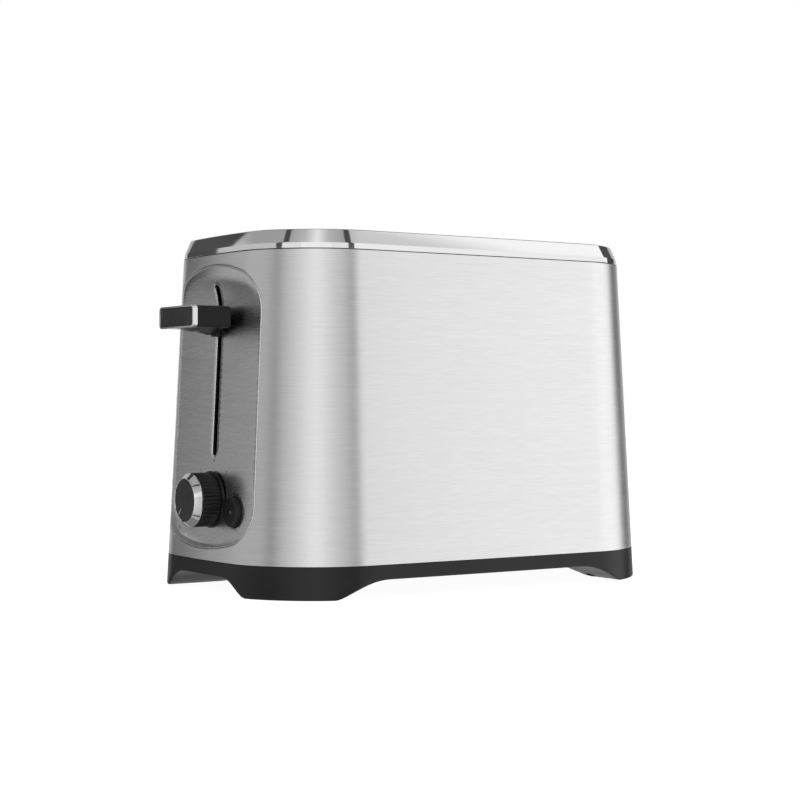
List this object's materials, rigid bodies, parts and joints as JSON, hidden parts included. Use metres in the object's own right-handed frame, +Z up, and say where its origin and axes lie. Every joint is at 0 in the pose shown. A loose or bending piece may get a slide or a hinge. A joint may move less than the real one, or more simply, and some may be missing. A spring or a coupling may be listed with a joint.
{
  "type": "pop up toaster",
  "caption": "Pop up toaster with a drafted brushed steel skin, polished top trim, black base, end lever, browning knob and cancel button, sprung carriage and slide-out crumb tray.",
  "frame": {"origin": "middle of the housing, on the surface the four foot pads stand on", "axes": "+Z up; X along the length, with the lever, knob and button at -X and the crumb tray's pull at +X; Y across, one bread slot on each side"},
  "size_m": [0.2958, 0.1684, 0.195],
  "materials": {
    "brushed_skin": "fine horizontal brushing",
    "panel_steel": "darker brushed plate",
    "polished_trim": "polished",
    "deck_steel": "satin",
    "sheet_steel": "zinc plated sheet",
    "black_plastic": "fine moulded texture",
    "inlay": "satin dark insert",
    "knob_face": "fine turned face",
    "rubber": "matt",
    "mica": "mica board",
    "ribbon": "oxidised resistance ribbon",
    "wire_chrome": "plated wire",
    "circuit_board": "solder mask",
    "copper": "copper",
    "lead_sleeve": "braided glass sleeve",
    "terminal_plastic": "moulded"
  },
  "bodies": {
    "housing": {"body_shell": "brushed_skin", "control_panel": "panel_steel", "top_trim": "polished_trim", "top_plate": "deck_steel", "base_housing": "black_plastic", "foot_pads": "rubber", "front_chassis_plate": "sheet_steel", "rear_chassis_plate": "sheet_steel", "reflector_left": "sheet_steel", "reflector_right": "sheet_steel", "mica_board_left": "mica", "mica_board_center": "mica", "mica_board_right": "mica", "heating_wire_left": "ribbon", "heating_wire_center": "ribbon", "heating_wire_right": "ribbon", "neutral_busbar": "sheet_steel", "live_busbar": "sheet_steel", "guide_rod": "wire_chrome", "carriage_spring": "wire_chrome", "magnet_core": "sheet_steel", "magnet_coil": "copper", "timer_control": "black_plastic", "stop_switch": "black_plastic", "control_board": "circuit_board", "board_posts": "sheet_steel", "board_screws": "sheet_steel", "power_contacts": "copper", "terminal_block": "terminal_plastic", "thermal_fuse": "sheet_steel", "cord_gland": "rubber", "live_lead": "lead_sleeve", "neutral_lead": "lead_sleeve", "switched_lead": "lead_sleeve", "base_screws": "sheet_steel"},
    "carriage": {"carriage_bracket": "sheet_steel", "carriage_bush": "black_plastic", "bread_rack_left": "sheet_steel", "bread_rack_right": "sheet_steel", "latch_plate": "sheet_steel", "lever_arm": "sheet_steel", "lever_handle": "black_plastic", "lever_trim": "polished_trim", "lever_inlay": "inlay"},
    "guide_left_outer": {"bread_guide_left_outer": "wire_chrome"},
    "guide_left_inner": {"bread_guide_left_inner": "wire_chrome"},
    "guide_right_inner": {"bread_guide_right_inner": "wire_chrome"},
    "guide_right_outer": {"bread_guide_right_outer": "wire_chrome"},
    "knob": {"knob_body": "black_plastic", "knob_skirt": "black_plastic", "knob_ring": "polished_trim", "knob_cap": "knob_face", "timer_shaft": "sheet_steel"},
    "button": {"cancel_button": "black_plastic"},
    "tray": {"crumb_tray": "sheet_steel", "tray_handle": "black_plastic"}
  },
  "joints": [
    {"name": "carriage_slide", "type": "slide", "parent": "housing", "child": "carriage", "axis": [0, 0, -1], "range_m": [-0.01, 0.062], "stiffness_N_per_m": 120, "springref_m": -0.0092, "deforming": ["carriage_spring"]},
    {"name": "knob_turn", "type": "hinge", "parent": "housing", "child": "knob", "pos_m": [-0.128, 0, 0.0504], "axis": [1, 0, 0], "range_deg": [0, 270]},
    {"name": "cancel_press", "type": "slide", "parent": "housing", "child": "button", "axis": [1, 0, 0], "range_m": [0, 0.0025], "stiffness_N_per_m": 300},
    {"name": "crumb_tray_slide", "type": "slide", "parent": "housing", "child": "tray", "axis": [1, 0, 0], "range_m": [0, 0.19]},
    {"name": "guide_left_outer_swing", "type": "hinge", "parent": "housing", "child": "guide_left_outer", "pos_m": [0, 0.044, 0.042], "axis": [1, 0, 0], "range_deg": [-1, 5.1]},
    {"name": "guide_left_inner_swing", "type": "hinge", "parent": "housing", "child": "guide_left_inner", "pos_m": [0, 0.012, 0.042], "axis": [1, 0, 0], "range_deg": [-5.1, 1]},
    {"name": "guide_right_inner_swing", "type": "hinge", "parent": "housing", "child": "guide_right_inner", "pos_m": [0, -0.012, 0.042], "axis": [1, 0, 0], "range_deg": [-1, 5.1]},
    {"name": "guide_right_outer_swing", "type": "hinge", "parent": "housing", "child": "guide_right_outer", "pos_m": [0, -0.044, 0.042], "axis": [1, 0, 0], "range_deg": [-5.1, 1]}
  ],
  "couplings": [
    {"joint": "guide_left_outer_swing", "follows": "carriage_slide", "rad_per_m": 1.4075},
    {"joint": "guide_left_inner_swing", "follows": "carriage_slide", "rad_per_m": -1.4075},
    {"joint": "guide_right_inner_swing", "follows": "carriage_slide", "rad_per_m": 1.4075},
    {"joint": "guide_right_outer_swing", "follows": "carriage_slide", "rad_per_m": -1.4075}
  ]
}
